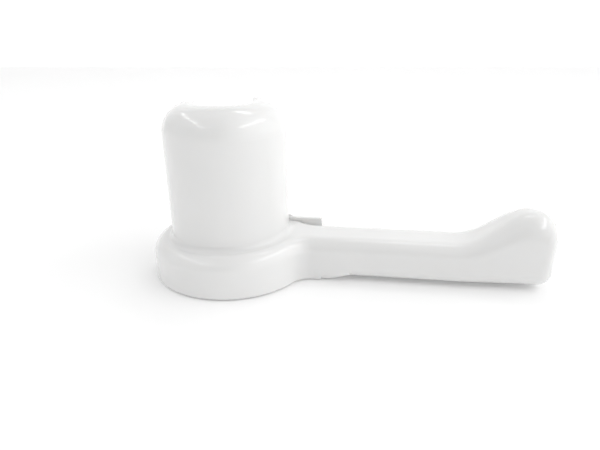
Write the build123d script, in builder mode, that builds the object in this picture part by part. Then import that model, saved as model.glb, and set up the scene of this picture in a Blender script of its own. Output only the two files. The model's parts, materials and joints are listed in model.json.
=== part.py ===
from build123d import *
import os
from math import cos, radians, sin

# Hand-held filler for single size 00 capsules, with a lever that lifts the filled capsule out.
# Frame: origin on the post's axis in the plane that the tool stands on, +Z up the post and
# +X along the handle. The ejector's thumb tab is on the +Y side. Millimetres throughout.

os.makedirs("parts", exist_ok=True)

# ---- driving dimensions: outside
post_radius = 16.0
post_top = 46.0
crown_fillet = 7.4
mouth_radius = 7.3
mouth_lip = 1.0
notch_half = 8.0
notch_floor = 41.8
notch_corner = 2.6
notch_flare = 1.4
notch_turn = 17.5
flange_radius = 21.2
flange_bottom = 0.3
flange_top = 10.2
ramp_end = 20.0
ramp_slope = 0.028
foot_fillet = 1.5
edge_break = 0.4
neck_fillet = 6.0
neck_end = 26.0
handle_width = 13.8
handle_bottom = 1.3
handle_top = 11.4
handle_fillet = 3.5
handle_low_fillet = 2.5
thumb_start = 60.0
end_fillet = 3.3
heel_flat_end = 26.5
heel_end = 33.5
heel_height = 4.0
heel_lap = 1.0
heel_fillet = 1.4
half_width = handle_width / 2

# ---- driving dimensions: capsule seat, ejector and lever
capsule_bore_radius = 4.25
ejector_bore_radius = 2.6
body_bore_radius = 7.0
sleeve_radius = 6.97
sleeve_bottom = 16.6
sleeve_top = 42.2
seat_step = 21.0
tip_top = 19.4
funnel_depth = 2.4
funnel_lip = 0.5
seat_chamfer = 0.6
ring_height = 38.0
ring_half = 0.6
ring_depth = 0.9
ring_wire = 0.45
web_bottom = 14.6
bush_radius = 3.0
stem_radius = 1.6
running = 0.05
lever_gap = 0.2
pivot_x = 12.5
pivot_height = 5.6
pin_radius = 1.2
hub_radius = 2.5
nose_radius = 1.5
lever_half = 3.2
arm_start = 15.2
arm_end = 18.8
arm_height = 2.6
arm_rise = 0.4
tab_start = 14.9
tab_end = 24.3
tab_near = 7.2
tab_far = 12.4
tab_top = 12.3
tab_fall = 0.5
tab_curl = 0.9
tab_curl_radius = 7.0
tab_curl_angle = 27.0
tab_curl_end = 3.2
tab_corner = 0.8
tab_bottom_rise = 2.0
tab_bulge = 0.7

# ---- heights along the ejector's stem
stem_bottom = pivot_height + nose_radius + lever_gap
clip_bottom = stem_bottom + 0.3
clip_top = clip_bottom + 0.4
seat_top = clip_top + 0.5
clip_groove_radius = 1.2
clip_radius = 2.6
head_bottom = sleeve_bottom + 0.1
seal_bottom = head_bottom + 0.6
seal_top = seal_bottom + 0.8
pad_height = 0.8
pad_margin = 0.3
head_top = tip_top - pad_height
head_radius = ejector_bore_radius - 0.1
seal_depth = 0.7
spring_wire = 0.15
spring_turns = 3.5
spring_seat_radius = 3.8
spring_radius = 2.6
spring_length = web_bottom - seat_top - 2 * spring_wire - 0.1
spring_pitch = spring_length / spring_turns

# ---- driving dimensions: hollows, covers and fasteners
cover_bottom = 0.8
cover_top = 2.0
recess_radius = 18.8
recess_length = 28.4
core_radius = 17.4
core_ceiling = 7.4
pocket_radius = 6.4
tube_radius = 9.2
annulus_radius = 13.0
annulus_top = 35.0
slot_half = 3.7
slot_ceiling = 11.2
slot_inside = 15.0
slot_end = 19.6
lug_half = 2.2
lug_inner = 3.7
lug_outer = 6.0
tab_recess_start = 14.0
tab_recess_end = 30.0
tab_recess_side = 13.2
window_start = 14.8
window_end = 19.6
window_top = 7.9
screw_ring = 14.8
screw_radius = 0.9
screw_head_radius = 1.8
screw_length = 5.5
screw_sunk = 0.1
slot_length = 2.2
slot_width = 0.5
slot_depth = 0.4
pin_chamfer = 0.2
pilot_depth = 5.2
boss_radius = 2.3
heel_screw_x = 23.0
handle_core_start = 36.0
handle_core_end = 77.5
handle_core_half = 3.4
handle_core_top = 8.2
handle_cover_half = 4.2
handle_cover_top = 3.1
cover_lap = 1.5
cover_corner = 1.5
core_corner = 1.0
cover_countersink = 0.9
handle_screws = (42.0, 72.0)
fit_gap = 0.1
root_start = 4.0

turn_x = cos(radians(notch_turn))
turn_y = sin(radians(notch_turn))
notch_plane = Plane(origin=(0, 0, 0), x_dir=(turn_x, turn_y, 0), z_dir=(turn_y, -turn_x, 0))
cover_screws = [(screw_ring * cos(radians(a)), screw_ring * sin(radians(a))) for a in (120, 180, 240)]
cover_screws.append((heel_screw_x, 0))

# Thumb rest, one row for each cross-section: x, height of its top, upper and lower corner radius
thumb_sections = (
    (thumb_start, handle_top, handle_fillet, handle_low_fillet),
    (64.0, handle_top + 0.7, 3.9, 2.6),
    (68.0, handle_top + 2.9, 4.6, 2.9),
    (72.0, handle_top + 5.9, 5.4, 3.2),
    (76.0, handle_top + 8.1, 6.0, 3.5),
    (80.0, handle_top + 8.4, 6.3, 3.7),
    (84.1, handle_top + 5.3, 6.3, 3.8),
)


def underside_plan(inset, length):
    """Outline of the flange and neck, set in from the outer wall."""
    with BuildSketch(mode=Mode.PRIVATE) as plan:
        Circle(flange_radius - inset)
        with Locations(((length - inset) / 2, 0)):
            Rectangle(length - inset, handle_width - 2 * inset)
        inner = plan.vertices().filter_by(lambda v: 10 < v.X < length - inset - 1)
        fillet(inner, neck_fillet)
    return plan.sketch


def handle_section(x, top, upper_corner, lower_corner):
    """Cross-section of the handle at x, rounded at its four corners."""
    with BuildSketch(Plane.YZ.offset(x), mode=Mode.PRIVATE) as section:
        with Locations((0, (top + handle_bottom) / 2)):
            Rectangle(handle_width, top - handle_bottom)
        fillet(section.vertices().group_by(Axis.Y)[-1], upper_corner)
        fillet(section.vertices().group_by(Axis.Y)[0], lower_corner)
    return section.sketch


def handle_blank():
    """Handle with its upturned, rounded thumb rest, before it joins the flange."""
    with BuildPart() as blank:
        for x, top, upper_corner, lower_corner in thumb_sections:
            add(handle_section(x, top, upper_corner, lower_corner))
        loft()
        fillet(blank.faces().sort_by(Axis.X)[-1].edges(), end_fillet)
        root = handle_section(root_start, handle_top, handle_fillet, handle_low_fillet)
        extrude(root, amount=thumb_start - root_start)
    return blank.part


def heel_blank():
    """Heel under the handle's root: it stands level with the flange and rises to the handle."""
    with BuildPart() as heel:
        with BuildSketch(Plane.XY.offset(flange_bottom)):
            with Locations(((neck_end + heel_end) / 2 - 2, 0)):
                Rectangle(heel_end - neck_end + 4, handle_width)
        extrude(amount=heel_height)
        long_edges = heel.faces().sort_by(Axis.Z)[0].edges().filter_by(Axis.X)
        fillet(long_edges, heel_fillet)
        with BuildSketch(Plane.XZ):
            with BuildLine():
                Polyline(
                    (heel_flat_end, flange_bottom - 1),
                    (heel_flat_end, flange_bottom),
                    (heel_end, handle_bottom + heel_lap),
                    (heel_end, flange_bottom - 1),
                    close=True,
                )
            make_face()
        extrude(amount=half_width + 1, both=True, mode=Mode.SUBTRACT)
    return heel.part


def above_ramp():
    """Space above the flange's top, which rises a little towards the handle."""
    with BuildPart() as space:
        with BuildSketch(Plane.XZ):
            with BuildLine():
                level = Line((neck_end, handle_top), (ramp_end, handle_top))
                ramp = Spline(
                    level @ 1,
                    (-flange_radius - 1, flange_top),
                    tangents=((-1, 0), (-1, -ramp_slope)),
                )
                Polyline(ramp @ 1, (-flange_radius - 1, 20), (neck_end, 20), level @ 0)
            make_face()
        extrude(amount=flange_radius + 1, both=True)
    return space.part


def is_foot(edge):
    """True for the inner corner where the post stands on the flange and the handle."""
    middle = edge.center()
    reach = (middle.X ** 2 + middle.Y ** 2) ** 0.5
    on_post = abs(reach - post_radius) < 0.4
    return on_post and flange_top < middle.Z < handle_top + 0.1


# ---- main body: post, flange, neck, handle and thumb rest in one moulding
with BuildPart() as main_body:
    with BuildSketch(Plane.XY.offset(flange_bottom)):
        add(underside_plan(0, neck_end))
    extrude(amount=handle_top - flange_bottom + 1)
    add(above_ramp(), mode=Mode.SUBTRACT)
    rim = main_body.edges().filter_by(lambda e: e.center().Z > flange_top and abs(e.center().Y) > 5)
    fillet(rim, handle_fillet)
    rim = main_body.faces().sort_by(Axis.Z)[0].edges()
    fillet(rim.filter_by(lambda e: e.center().X < neck_end - 1), edge_break)
    add(heel_blank())
    with BuildSketch(Plane.XY.offset(flange_bottom)):
        Circle(post_radius)
    extrude(amount=post_top - flange_bottom)
    fillet(main_body.edges().sort_by(Axis.Z)[-1], crown_fillet)
    add(handle_blank())
    fillet(main_body.edges().filter_by(is_foot), foot_fillet)

    # Mouth, body bore and the notch at the back of the rim
    with BuildSketch(Plane.XY.offset(sleeve_bottom)):
        Circle(body_bore_radius)
    extrude(amount=post_top - sleeve_bottom + 1, mode=Mode.SUBTRACT)
    with BuildSketch(Plane.XY.offset(sleeve_top)):
        Circle(mouth_radius)
    extrude(amount=post_top - sleeve_top + 1, mode=Mode.SUBTRACT)
    rim = main_body.edges().filter_by(GeomType.CIRCLE).sort_by(Axis.Z)
    fillet(rim.filter_by(lambda e: abs(e.radius - mouth_radius) < 0.01)[-1], mouth_lip)
    with BuildSketch(notch_plane):
        with BuildLine():
            floor = Line((0, notch_floor), (notch_half - notch_corner, notch_floor))
            corner = JernArc(floor @ 1, (1, 0), notch_corner, 90)
            side = Line(corner @ 1, (notch_half, post_top - notch_flare))
            flare = JernArc(side @ 1, (0, 1), notch_flare, -90)
            Polyline(flare @ 1, ((flare @ 1).X, post_top + 1), (0, post_top + 1), floor @ 0)
        make_face()
        mirror(about=Plane.YZ)
    extrude(amount=-(post_radius + 1), mode=Mode.SUBTRACT)

    # Hollows under the flange, the post and the lever
    with BuildSketch(Plane.XY.offset(flange_bottom - 1)):
        add(underside_plan(flange_radius - recess_radius, recess_length))
    extrude(amount=cover_top - flange_bottom + 1, mode=Mode.SUBTRACT)
    with BuildSketch(Plane.XY.offset(cover_top)):
        Circle(core_radius)
    extrude(amount=core_ceiling - cover_top, mode=Mode.SUBTRACT)
    with BuildSketch(Plane.XY.offset(core_ceiling)):
        Circle(annulus_radius)
        Circle(tube_radius, mode=Mode.SUBTRACT)
    extrude(amount=annulus_top - core_ceiling, mode=Mode.SUBTRACT)
    with BuildSketch(Plane.XY.offset(core_ceiling)):
        Circle(pocket_radius)
    extrude(amount=web_bottom - core_ceiling, mode=Mode.SUBTRACT)
    with BuildSketch(Plane.XY.offset(web_bottom)):
        Circle(bush_radius)
    extrude(amount=sleeve_bottom - web_bottom, mode=Mode.SUBTRACT)
    with BuildSketch(Plane.XY.offset(cover_top)):
        with Locations(((slot_end - 4) / 2, 0)):
            Rectangle(slot_end + 4, 2 * slot_half)
    extrude(amount=core_ceiling + 0.4 - cover_top, mode=Mode.SUBTRACT)
    with BuildSketch(Plane.XY.offset(core_ceiling)):
        with Locations(((slot_inside - 4) / 2, 0)):
            Rectangle(slot_inside + 4, 2 * slot_half)
    extrude(amount=slot_ceiling - core_ceiling, mode=Mode.SUBTRACT)

    # Recess for the thumb tab and the window that its arm passes through
    with BuildSketch(Plane.XY.offset(flange_bottom - 1)):
        with BuildLine():
            Polyline(
                (tab_recess_start, half_width),
                (tab_recess_end, half_width),
                (tab_recess_end, tab_recess_side),
                (tab_recess_start, tab_recess_side),
                close=True,
            )
        make_face()
        Circle(post_radius, mode=Mode.SUBTRACT)
    extrude(amount=handle_top + foot_fillet + 1, mode=Mode.SUBTRACT)
    with BuildSketch(Plane.XY.offset(cover_top)):
        with Locations(((window_start + window_end) / 2, half_width)):
            Rectangle(window_end - window_start, half_width)
    extrude(amount=window_top - cover_top, mode=Mode.SUBTRACT)

    # Hollow in the handle and the seat of its cover
    core_middle = (handle_core_start + handle_core_end) / 2
    core_length = handle_core_end - handle_core_start
    with BuildSketch(Plane.XY.offset(handle_bottom - 1)):
        with Locations((core_middle, 0)):
            RectangleRounded(core_length + 2 * cover_lap, 2 * handle_cover_half, cover_corner)
    extrude(amount=handle_cover_top - handle_bottom + 1, mode=Mode.SUBTRACT)
    with BuildSketch(Plane.XY.offset(handle_cover_top)):
        with Locations((core_middle, 0)):
            RectangleRounded(core_length, 2 * handle_core_half, core_corner)
    extrude(amount=handle_core_top - handle_cover_top, mode=Mode.SUBTRACT)

    # Screw bosses and the two lugs that the pivot pin lies in
    with BuildSketch(Plane.XY.offset(cover_top)):
        with Locations(cover_screws[:-1]):
            Circle(boss_radius)
    extrude(amount=core_ceiling + 0.5 - cover_top)
    with BuildSketch(Plane.XY.offset(handle_cover_top)):
        with Locations([(x, 0) for x in handle_screws]):
            Circle(boss_radius)
    extrude(amount=handle_core_top + 0.5 - handle_cover_top)
    with BuildSketch(Plane.XY.offset(cover_top)):
        for side in (-1, 1):
            with Locations((pivot_x, side * (lug_inner + lug_outer) / 2)):
                Rectangle(2 * lug_half, lug_outer - lug_inner)
    extrude(amount=slot_ceiling - cover_top)
    with BuildSketch(Plane.XZ):
        with Locations((pivot_x, pivot_height)):
            Circle(pin_radius)
        with Locations((pivot_x, (pivot_height + cover_top) / 2)):
            Rectangle(2 * pin_radius, pivot_height - cover_top)
    extrude(amount=lug_outer, both=True, mode=Mode.SUBTRACT)
    with BuildSketch(Plane.XY.offset(cover_top)):
        with Locations(cover_screws):
            Circle(screw_radius)
    extrude(amount=pilot_depth, mode=Mode.SUBTRACT)
    with BuildSketch(Plane.XY.offset(handle_cover_top)):
        with Locations([(x, 0) for x in handle_screws]):
            Circle(screw_radius)
    extrude(amount=pilot_depth, mode=Mode.SUBTRACT)

main_body.part.label = "main_body"
export_step(main_body.part, "parts/main_body.step")

# ---- seat sleeve: holds the capsule's body, its top a funnel for the powder
with BuildPart() as seat_sleeve:
    with BuildSketch(Plane.XZ):
        with BuildLine():
            Polyline(
                (ejector_bore_radius, sleeve_bottom),
                (sleeve_radius, sleeve_bottom),
                (sleeve_radius, ring_height - ring_half),
                (sleeve_radius - ring_depth, ring_height - ring_half),
                (sleeve_radius - ring_depth, ring_height + ring_half),
                (sleeve_radius, ring_height + ring_half),
                (sleeve_radius, sleeve_top),
                (sleeve_radius - funnel_lip, sleeve_top),
                (capsule_bore_radius, sleeve_top - funnel_depth),
                (capsule_bore_radius, seat_step),
                (ejector_bore_radius + seat_chamfer, seat_step),
                (ejector_bore_radius, seat_step - seat_chamfer),
                close=True,
            )
        make_face()
    revolve(axis=Axis.Z)

seat_sleeve.part.label = "seat_sleeve"
export_step(seat_sleeve.part, "parts/seat_sleeve.step")

# ---- O-ring that grips the sleeve in the body
with BuildPart() as sleeve_o_ring:
    with BuildSketch(Plane.XZ):
        with Locations((sleeve_radius - ring_depth + ring_wire, ring_height)):
            Circle(ring_wire)
    revolve(axis=Axis.Z)

sleeve_o_ring.part.label = "sleeve_o_ring"
export_step(sleeve_o_ring.part, "parts/sleeve_o_ring.step")

# ---- bush in the web that guides the ejector's stem
with BuildPart() as guide_bush:
    with BuildSketch(Plane.XY.offset(web_bottom)):
        Circle(bush_radius)
        Circle(stem_radius + running, mode=Mode.SUBTRACT)
    extrude(amount=sleeve_bottom - web_bottom)

guide_bush.part.label = "guide_bush"
export_step(guide_bush.part, "parts/guide_bush.step")

# ---- ejector plunger: head with a seal groove, stem with a clip groove
with BuildPart() as ejector_plunger:
    with BuildSketch(Plane.XZ):
        with BuildLine():
            Polyline(
                (0, stem_bottom),
                (stem_radius, stem_bottom),
                (stem_radius, clip_bottom),
                (clip_groove_radius, clip_bottom),
                (clip_groove_radius, clip_top),
                (stem_radius, clip_top),
                (stem_radius, head_bottom),
                (head_radius, head_bottom),
                (head_radius, seal_bottom),
                (head_radius - seal_depth, seal_bottom),
                (head_radius - seal_depth, seal_top),
                (head_radius, seal_top),
                (head_radius, head_top),
                (0, head_top),
                close=True,
            )
        make_face()
    revolve(axis=Axis.Z)

ejector_plunger.part.label = "ejector_plunger"
export_step(ejector_plunger.part, "parts/ejector_plunger.step")

# ---- soft tip that the capsule stands on
with BuildPart() as plunger_tip_pad:
    with BuildSketch(Plane.XY.offset(head_top)):
        Circle(head_radius - pad_margin)
    extrude(amount=tip_top - head_top)

plunger_tip_pad.part.label = "plunger_tip_pad"
export_step(plunger_tip_pad.part, "parts/plunger_tip_pad.step")

# ---- seal that keeps powder out of the mechanism
with BuildPart() as plunger_seal:
    with BuildSketch(Plane.XY.offset(seal_bottom)):
        Circle(ejector_bore_radius - running)
        Circle(head_radius - seal_depth, mode=Mode.SUBTRACT)
    extrude(amount=seal_top - seal_bottom)

plunger_seal.part.label = "plunger_seal"
export_step(plunger_seal.part, "parts/plunger_seal.step")

# ---- return spring between the web and the spring seat
with BuildPart() as return_spring:
    coil = Helix(spring_pitch, spring_length, spring_radius, center=(0, 0, seat_top + spring_wire))
    with BuildSketch(Plane(coil @ 0, z_dir=coil % 0)):
        Circle(spring_wire)
    sweep(path=coil)

return_spring.part.label = "return_spring"
export_step(return_spring.part, "parts/return_spring.step")

# ---- spring seat on the stem
with BuildPart() as spring_seat:
    with BuildSketch(Plane.XY.offset(clip_top)):
        Circle(spring_seat_radius)
        Circle(stem_radius, mode=Mode.SUBTRACT)
    extrude(amount=seat_top - clip_top)

spring_seat.part.label = "spring_seat"
export_step(spring_seat.part, "parts/spring_seat.step")

# ---- retaining clip in the stem's groove
with BuildPart() as retaining_clip:
    with BuildSketch(Plane.XY.offset(clip_bottom)):
        Circle(clip_radius)
        Circle(clip_groove_radius, mode=Mode.SUBTRACT)
        with Locations((0, -clip_radius)):
            Rectangle(2 * clip_groove_radius - 0.2, 2 * clip_radius, mode=Mode.SUBTRACT)
    extrude(amount=clip_top - clip_bottom)

retaining_clip.part.label = "retaining_clip"
export_step(retaining_clip.part, "parts/retaining_clip.step")

# ---- ejector lever: nose under the stem, hub on the pin, arm out to the thumb tab
with BuildPart() as ejector_lever:
    with BuildSketch(Plane.XZ):
        with Locations((0, pivot_height)):
            Circle(nose_radius)
        with Locations((pivot_x / 2, pivot_height)):
            Rectangle(pivot_x, 2 * nose_radius)
        with Locations((pivot_x, pivot_height)):
            Circle(hub_radius)
        with Locations(((pivot_x + arm_end) / 2, pivot_height + arm_rise)):
            Rectangle(arm_end - pivot_x, arm_height)
    extrude(amount=lever_half, both=True)
    with BuildSketch(Plane.XZ.offset(-lever_half)):
        with Locations(((arm_start + arm_end) / 2, pivot_height + arm_rise)):
            Rectangle(arm_end - arm_start, arm_height)
    extrude(amount=-(tab_near + 1 - lever_half))
    with BuildSketch(Plane.XZ.offset(-tab_near)):
        with BuildLine():
            under = pivot_height - arm_rise
            Polyline(
                (tab_start, under),
                (arm_end, under),
                (tab_end + tab_bulge, under + tab_bottom_rise),
                (tab_end, tab_top),
                (tab_start + tab_curl_end, tab_top),
            )
            curl = JernArc((tab_start + tab_curl_end, tab_top), (-1, 0), tab_curl_radius, -tab_curl_angle)
            Polyline(curl @ 1, (tab_start, (curl @ 1).Y), (tab_start, under))
        make_face()
    extrude(amount=-(tab_far - tab_near))
    with BuildSketch(Plane.YZ.offset(tab_start - 1)):
        with BuildLine():
            far_top = tab_top + tab_fall - tab_fall * (tab_far + 1 - tab_near)
            Polyline(
                (tab_near - 1, tab_top + tab_fall + tab_fall),
                (tab_far + 1, far_top),
                (tab_far + 1, tab_top + tab_curl + 1),
                (tab_near - 1, tab_top + tab_curl + 1),
                close=True,
            )
        make_face()
    extrude(amount=tab_end + tab_bulge - tab_start + 2, mode=Mode.SUBTRACT)
    far_face = ejector_lever.faces().sort_by(Axis.Y)[-1]
    fillet(far_face.edges().filter_by(lambda e: e.center().Z > pivot_height + 1), tab_corner)
    with BuildSketch(Plane.XZ):
        with Locations((pivot_x, pivot_height)):
            Circle(pin_radius + running)
    extrude(amount=lever_half + 1, both=True, mode=Mode.SUBTRACT)

ejector_lever.part.label = "ejector_lever"
export_step(ejector_lever.part, "parts/ejector_lever.step")

# ---- pivot pin
with BuildPart() as pivot_pin:
    with BuildSketch(Plane.XZ):
        with Locations((pivot_x, pivot_height)):
            Circle(pin_radius)
    extrude(amount=lug_outer - fit_gap, both=True)
    chamfer(pivot_pin.edges().filter_by(GeomType.CIRCLE), pin_chamfer)

pivot_pin.part.label = "pivot_pin"
export_step(pivot_pin.part, "parts/pivot_pin.step")

# ---- base cover, with the two posts that keep the pin in its lugs
with BuildPart() as base_cover:
    with BuildSketch(Plane.XY.offset(cover_bottom)):
        add(underside_plan(flange_radius - recess_radius + fit_gap, recess_length))
        with Locations(cover_screws):
            Circle(screw_radius, mode=Mode.SUBTRACT)
    extrude(amount=cover_top - cover_bottom)
    with BuildSketch(Plane.XY.offset(cover_top)):
        for side in (-1, 1):
            with Locations((pivot_x, side * (lug_inner + lug_outer) / 2)):
                Rectangle(2 * pin_radius - 2 * fit_gap, lug_outer - lug_inner - 2 * fit_gap)
    extrude(amount=pivot_height - pin_radius - fit_gap - cover_top)

base_cover.part.label = "base_cover"
export_step(base_cover.part, "parts/base_cover.step")

# ---- non-slip pad stuck under the base cover
with BuildPart() as base_pad:
    with BuildSketch(Plane.XY):
        add(underside_plan(flange_radius - recess_radius + 2 * fit_gap, recess_length))
        with Locations(cover_screws):
            Circle(screw_head_radius + 0.3, mode=Mode.SUBTRACT)
    extrude(amount=cover_bottom)

base_pad.part.label = "base_pad"
export_step(base_pad.part, "parts/base_pad.step")

# ---- four screws of the base cover
with BuildPart() as cover_screw_set:
    with BuildSketch(Plane.XY.offset(screw_sunk)):
        with Locations(cover_screws):
            Circle(screw_head_radius)
    extrude(amount=cover_bottom - screw_sunk)
    with BuildSketch(Plane.XY.offset(cover_bottom)):
        with Locations(cover_screws):
            Circle(screw_radius)
    extrude(amount=screw_length)
    with BuildSketch(Plane.XY.offset(screw_sunk)):
        with Locations(cover_screws):
            Rectangle(slot_length, slot_width)
            Rectangle(slot_width, slot_length)
    extrude(amount=slot_depth, mode=Mode.SUBTRACT)

cover_screw_set.part.label = "cover_screws"
export_step(cover_screw_set.part, "parts/cover_screws.step")

# ---- cover of the handle's hollow
with BuildPart() as handle_cover:
    with BuildSketch(Plane.XY.offset(handle_bottom)):
        with Locations((core_middle, 0)):
            cover_length = core_length + 2 * cover_lap - 2 * fit_gap
            RectangleRounded(cover_length, 2 * handle_cover_half - 2 * fit_gap, cover_corner - fit_gap)
    extrude(amount=handle_cover_top - handle_bottom)
    with BuildSketch(Plane.XY.offset(handle_bottom)):
        with Locations([(x, 0) for x in handle_screws]):
            Circle(screw_head_radius + 0.1)
    extrude(amount=cover_countersink, mode=Mode.SUBTRACT)
    with BuildSketch(Plane.XY.offset(handle_bottom)):
        with Locations([(x, 0) for x in handle_screws]):
            Circle(screw_radius)
    extrude(amount=handle_cover_top - handle_bottom, mode=Mode.SUBTRACT)

handle_cover.part.label = "handle_cover"
export_step(handle_cover.part, "parts/handle_cover.step")

# ---- two screws of the handle cover
with BuildPart() as handle_screw_set:
    with BuildSketch(Plane.XY.offset(handle_bottom + screw_sunk)):
        with Locations([(x, 0) for x in handle_screws]):
            Circle(screw_head_radius)
    extrude(amount=cover_countersink - screw_sunk)
    with BuildSketch(Plane.XY.offset(handle_bottom + cover_countersink)):
        with Locations([(x, 0) for x in handle_screws]):
            Circle(screw_radius)
    extrude(amount=screw_length)
    with BuildSketch(Plane.XY.offset(handle_bottom + screw_sunk)):
        with Locations([(x, 0) for x in handle_screws]):
            Rectangle(slot_length, slot_width)
            Rectangle(slot_width, slot_length)
    extrude(amount=slot_depth, mode=Mode.SUBTRACT)

handle_screw_set.part.label = "handle_screws"
export_step(handle_screw_set.part, "parts/handle_screws.step")
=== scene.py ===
"""Looks of the capsule filler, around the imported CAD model. Metres, in the CAD model's frame."""

import json
import math

import bpy
from mathutils import Matrix, Vector


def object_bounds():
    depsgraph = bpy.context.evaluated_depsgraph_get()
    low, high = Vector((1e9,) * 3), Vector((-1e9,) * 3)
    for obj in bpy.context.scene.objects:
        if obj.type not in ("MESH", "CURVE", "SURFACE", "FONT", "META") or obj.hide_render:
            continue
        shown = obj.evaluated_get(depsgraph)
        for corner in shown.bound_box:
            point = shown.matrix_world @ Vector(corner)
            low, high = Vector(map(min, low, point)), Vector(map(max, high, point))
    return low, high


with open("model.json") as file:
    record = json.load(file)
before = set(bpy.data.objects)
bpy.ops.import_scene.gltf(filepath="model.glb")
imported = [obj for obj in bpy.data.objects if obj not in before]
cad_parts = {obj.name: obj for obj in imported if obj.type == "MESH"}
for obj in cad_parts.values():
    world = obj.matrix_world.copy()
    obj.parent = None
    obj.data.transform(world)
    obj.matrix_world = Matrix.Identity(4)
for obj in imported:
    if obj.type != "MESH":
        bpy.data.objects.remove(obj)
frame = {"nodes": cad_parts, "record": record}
cad_low, cad_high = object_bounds()
nodes = frame["nodes"]
MM = 0.001

# ---------------------------------------------------------------- camera
CAMERA_PLACE = Vector((39.3, -124.7, 64.0)) * MM
CAMERA_YAW = math.radians(-9.11)
CAMERA_PITCH = math.radians(22.0)
CAMERA_ROLL = math.radians(-0.75)
CAMERA_LENS = 29.96


def make_camera():
    """Camera close in front of the object, looking down at it."""
    data = bpy.data.cameras.new("camera")
    data.lens = CAMERA_LENS
    data.sensor_width = 36.0
    data.clip_start = 0.005
    camera = bpy.data.objects.new("camera", data)
    bpy.context.scene.collection.objects.link(camera)
    ahead = Vector((
        math.sin(CAMERA_YAW) * math.cos(CAMERA_PITCH),
        math.cos(CAMERA_YAW) * math.cos(CAMERA_PITCH),
        -math.sin(CAMERA_PITCH),
    ))
    level = Vector((math.cos(CAMERA_YAW), -math.sin(CAMERA_YAW), 0.0))
    upward = level.cross(ahead)
    across = math.cos(CAMERA_ROLL) * level + math.sin(CAMERA_ROLL) * upward
    upward = across.cross(ahead)
    turn = Matrix((across, upward, -ahead)).transposed()
    camera.matrix_world = Matrix.Translation(CAMERA_PLACE) @ turn.to_4x4()
    bpy.context.scene.camera = camera


# ---------------------------------------------------------------- materials
# sizes of the noise, in features per metre
PLASTIC_TINT = 90
PLASTIC_GLOSS = 420
PLASTIC_PEEL = 260
METAL_TINT = 800
METAL_GLOSS = 1500
METAL_GRAIN = 2400
RUBBER_TINT = 500
RUBBER_GLOSS = 900
RUBBER_GRAIN = 3000
PAPER_TINT = 40

PLASTIC_IOR = 1.49
COAT_ROUGHNESS = 0.08
SCATTER_DEPTH = 1.8 * MM
SCATTER_TINT = (1.0, 0.95, 0.9)
RUBBER_ROUGHNESS = (0.55, 0.75)


def new_material(name):
    material = bpy.data.materials.new(name)
    material.use_nodes = True
    tree = material.node_tree
    shader = tree.nodes["Principled BSDF"]
    return material, tree, shader


def noise(tree, scale, detail=3.0):
    """Noise in the object's own coordinates."""
    place = tree.nodes.new("ShaderNodeTexCoord")
    texture = tree.nodes.new("ShaderNodeTexNoise")
    texture.inputs["Scale"].default_value = scale
    texture.inputs["Detail"].default_value = detail
    tree.links.new(place.outputs["Object"], texture.inputs["Vector"])
    return texture.outputs["Fac"]


def colour_between(tree, value, low, high):
    """Turns 0-1 into a blend of two colours."""
    mix = tree.nodes.new("ShaderNodeMix")
    mix.data_type = "RGBA"
    factor, first, second = mix.inputs[0], mix.inputs[6], mix.inputs[7]
    first.default_value = (*low, 1)
    second.default_value = (*high, 1)
    tree.links.new(value, factor)
    return mix.outputs[2]


def number_between(tree, value, low, high):
    """Turns 0-1 into a range of numbers."""
    span = tree.nodes.new("ShaderNodeMapRange")
    span.inputs["To Min"].default_value = low
    span.inputs["To Max"].default_value = high
    tree.links.new(value, span.inputs["Value"])
    return span.outputs["Result"]


def bump(tree, shader, height, strength, distance):
    """Fine relief on a surface."""
    node = tree.nodes.new("ShaderNodeBump")
    node.inputs["Strength"].default_value = strength
    node.inputs["Distance"].default_value = distance
    tree.links.new(height, node.inputs["Height"])
    tree.links.new(node.outputs["Normal"], shader.inputs["Normal"])


def moulded_plastic(name, low, high, roughness, scatter=0.0, coat=0.0):
    """Moulded plastic: a slightly uneven tint, uneven gloss and fine orange peel."""
    material, tree, shader = new_material(name)
    tint = colour_between(tree, noise(tree, PLASTIC_TINT), low, high)
    tree.links.new(tint, shader.inputs["Base Color"])
    gloss = number_between(tree, noise(tree, PLASTIC_GLOSS), *roughness)
    tree.links.new(gloss, shader.inputs["Roughness"])
    bump(tree, shader, noise(tree, PLASTIC_PEEL, 2.0), strength=0.10, distance=0.06 * MM)
    shader.inputs["IOR"].default_value = PLASTIC_IOR
    shader.inputs["Coat Weight"].default_value = coat
    shader.inputs["Coat Roughness"].default_value = COAT_ROUGHNESS
    if scatter:
        shader.inputs["Subsurface Weight"].default_value = scatter
        shader.inputs["Subsurface Radius"].default_value = SCATTER_TINT
        shader.inputs["Subsurface Scale"].default_value = SCATTER_DEPTH
    return material


def metal(name, low, high, roughness):
    """Machined or drawn metal with a fine grain."""
    material, tree, shader = new_material(name)
    shader.inputs["Metallic"].default_value = 1.0
    tint = colour_between(tree, noise(tree, METAL_TINT), low, high)
    tree.links.new(tint, shader.inputs["Base Color"])
    gloss = number_between(tree, noise(tree, METAL_GLOSS), *roughness)
    tree.links.new(gloss, shader.inputs["Roughness"])
    bump(tree, shader, noise(tree, METAL_GRAIN), strength=0.15, distance=0.02 * MM)
    return material


def rubber(name, low, high):
    """Matt silicone rubber."""
    material, tree, shader = new_material(name)
    tint = colour_between(tree, noise(tree, RUBBER_TINT), low, high)
    tree.links.new(tint, shader.inputs["Base Color"])
    gloss = number_between(tree, noise(tree, RUBBER_GLOSS), *RUBBER_ROUGHNESS)
    tree.links.new(gloss, shader.inputs["Roughness"])
    bump(tree, shader, noise(tree, RUBBER_GRAIN), strength=0.25, distance=0.04 * MM)
    return material


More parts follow.
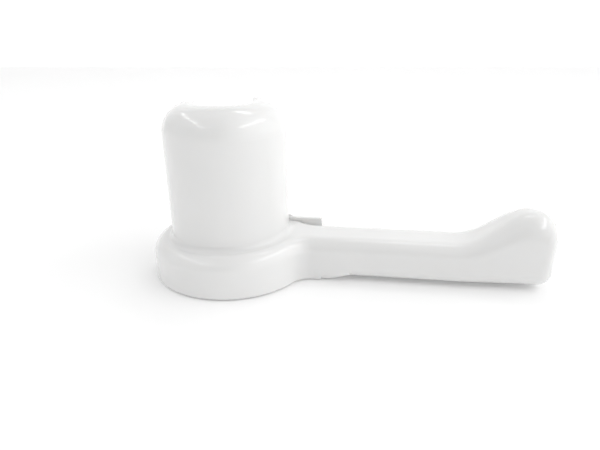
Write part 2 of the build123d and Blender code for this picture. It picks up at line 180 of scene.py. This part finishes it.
def make_materials():
    """One material for each material slot of the CAD model."""
    return {
        "white_body": moulded_plastic(
            "gloss_white", (0.775, 0.775, 0.77), (0.805, 0.805, 0.80), (0.16, 0.24), 0.35, 0.4
        ),
        "white_lever": moulded_plastic(
            "gloss_white_lever", (0.77, 0.77, 0.765), (0.80, 0.80, 0.795), (0.18, 0.26), 0.3, 0.3
        ),
        "white_insert": moulded_plastic(
            "satin_natural", (0.74, 0.74, 0.72), (0.79, 0.79, 0.77), (0.35, 0.48), 0.3
        ),
        "white_cover": moulded_plastic(
            "satin_white", (0.76, 0.76, 0.755), (0.80, 0.80, 0.795), (0.38, 0.5)
        ),
        "seal_rubber": rubber("silicone", (0.55, 0.57, 0.57), (0.63, 0.65, 0.65)),
        "pad_rubber": rubber("pad_silicone", (0.30, 0.32, 0.33), (0.36, 0.38, 0.39)),
        "bush_brass": metal("turned_brass", (0.72, 0.52, 0.24), (0.80, 0.60, 0.30), (0.25, 0.4)),
        "pin_steel": metal("turned_steel", (0.56, 0.57, 0.58), (0.66, 0.67, 0.68), (0.22, 0.36)),
        "spring_steel": metal("wire_steel", (0.42, 0.43, 0.45), (0.52, 0.53, 0.55), (0.2, 0.35)),
        "screw_steel": metal("screw_steel", (0.55, 0.56, 0.57), (0.64, 0.65, 0.66), (0.24, 0.4)),
    }


def dress_nodes(materials):
    """Gives every CAD node the material of its slot."""
    for part in frame["record"]["subparts"]:
        piece = nodes[part["node"]]
        piece.data.materials.clear()
        piece.data.materials.append(materials[part["material_slot"]])


# ---------------------------------------------------------------- floor and light
FLOOR_HALF = 1.5
SWEEP_START = 0.7
SWEEP_RADIUS = 0.3
SWEEP_STEPS = 8
BACKDROP_TOP = 1.2
FLOOR_GAP = 0.02 * MM
FLOOR_GLOW = 0.10
BACKDROP_GLOW = 0.35
SKY_EVEN = 0.10
SKY_RIGHT = 1.50
SKY_LEFT = 0.80
SKY_ABOVE = 0.34
AIM = Vector((0.03, 0.0, 0.02))

# name, azimuth and elevation in degrees, distance, width and height, watts
LIGHTS = (
    ("key", -8, 47, 0.5, (0.50, 0.05), 0.35),
    ("left_strip", 195, 48, 0.55, (0.75, 0.03), 0.30),
    ("back", 75, 66, 0.6, (0.20, 0.06), 0.22),
)


def white_sheet(name, glow):
    """Matt white paper with a little light of its own."""
    material, tree, shader = new_material(name)
    tint = colour_between(tree, noise(tree, PAPER_TINT), (0.90, 0.90, 0.90), (0.92, 0.92, 0.92))
    tree.links.new(tint, shader.inputs["Base Color"])
    shader.inputs["Roughness"].default_value = 0.9
    shader.inputs["Specular IOR Level"].default_value = 0.1
    shader.inputs["Emission Color"].default_value = (1, 1, 1, 1)
    shader.inputs["Emission Strength"].default_value = glow
    return material


def make_floor():
    """White sheet that the object stands on, swept up into a backdrop."""
    profile = [(-FLOOR_HALF, 0.0)]
    for step in range(SWEEP_STEPS + 1):
        turn = math.radians(90) * step / SWEEP_STEPS
        profile.append((
            SWEEP_START + SWEEP_RADIUS * math.sin(turn),
            SWEEP_RADIUS * (1 - math.cos(turn)),
        ))
    profile.append((SWEEP_START + SWEEP_RADIUS, BACKDROP_TOP))
    points = [(side * FLOOR_HALF, y, z) for y, z in profile for side in (-1, 1)]
    faces = [(2 * k, 2 * k + 1, 2 * k + 3, 2 * k + 2) for k in range(len(profile) - 1)]
    mesh = bpy.data.meshes.new("floor")
    mesh.from_pydata(points, [], faces)
    floor = bpy.data.objects.new("floor", mesh)
    bpy.context.scene.collection.objects.link(floor)
    floor.location.z = cad_low[2] - FLOOR_GAP
    floor.data.materials.append(white_sheet("floor_white", FLOOR_GLOW))
    floor.data.materials.append(white_sheet("backdrop_white", BACKDROP_GLOW))
    for face in mesh.polygons[1:]:
        face.material_index = 1


def math_node(tree, operation, first, second):
    """Joins two values, each a socket or a number."""
    node = tree.nodes.new("ShaderNodeMath")
    node.operation = operation
    for place, value in enumerate((first, second)):
        if isinstance(value, float):
            node.inputs[place].default_value = value
        else:
            tree.links.new(value, node.inputs[place])
    return node.outputs[0]


def make_sky():
    """Studio surround: mostly from the right, less from the left and from above."""
    world = bpy.data.worlds.new("world")
    world.use_nodes = True
    tree = world.node_tree
    direction = tree.nodes.new("ShaderNodeTexCoord")
    split = tree.nodes.new("ShaderNodeSeparateXYZ")
    tree.links.new(direction.outputs["Generated"], split.inputs[0])
    level = SKY_EVEN
    for axis, slope in (("X", SKY_RIGHT), ("X", -SKY_LEFT), ("Z", SKY_ABOVE)):
        share = math_node(tree, "MULTIPLY", split.outputs[axis], slope)
        share = math_node(tree, "MAXIMUM", share, 0.0)
        level = math_node(tree, "ADD", share, level)
    tree.links.new(level, tree.nodes["Background"].inputs["Strength"])
    tree.nodes["Background"].inputs["Color"].default_value = (1, 1, 1, 1)
    bpy.context.scene.world = world


def area_light(name, azimuth, elevation, distance, size, power):
    """Softbox aimed at the object from a direction given in degrees."""
    data = bpy.data.lights.new(name, "AREA")
    data.shape = "RECTANGLE"
    data.size, data.size_y = size
    data.energy = power
    light = bpy.data.objects.new(name, data)
    bpy.context.scene.collection.objects.link(light)
    flat = math.cos(math.radians(elevation))
    toward = Vector((
        flat * math.cos(math.radians(azimuth)),
        flat * math.sin(math.radians(azimuth)),
        math.sin(math.radians(elevation)),
    ))
    light.location = AIM + distance * toward
    light.rotation_euler = (-toward).to_track_quat("-Z", "Y").to_euler()


def make_light():
    """The surround, the three softboxes and how their light is shown."""
    make_sky()
    for light in LIGHTS:
        area_light(*light)
    bpy.context.scene.view_settings.view_transform = "Standard"


make_camera()
dress_nodes(make_materials())
make_floor()
make_light()
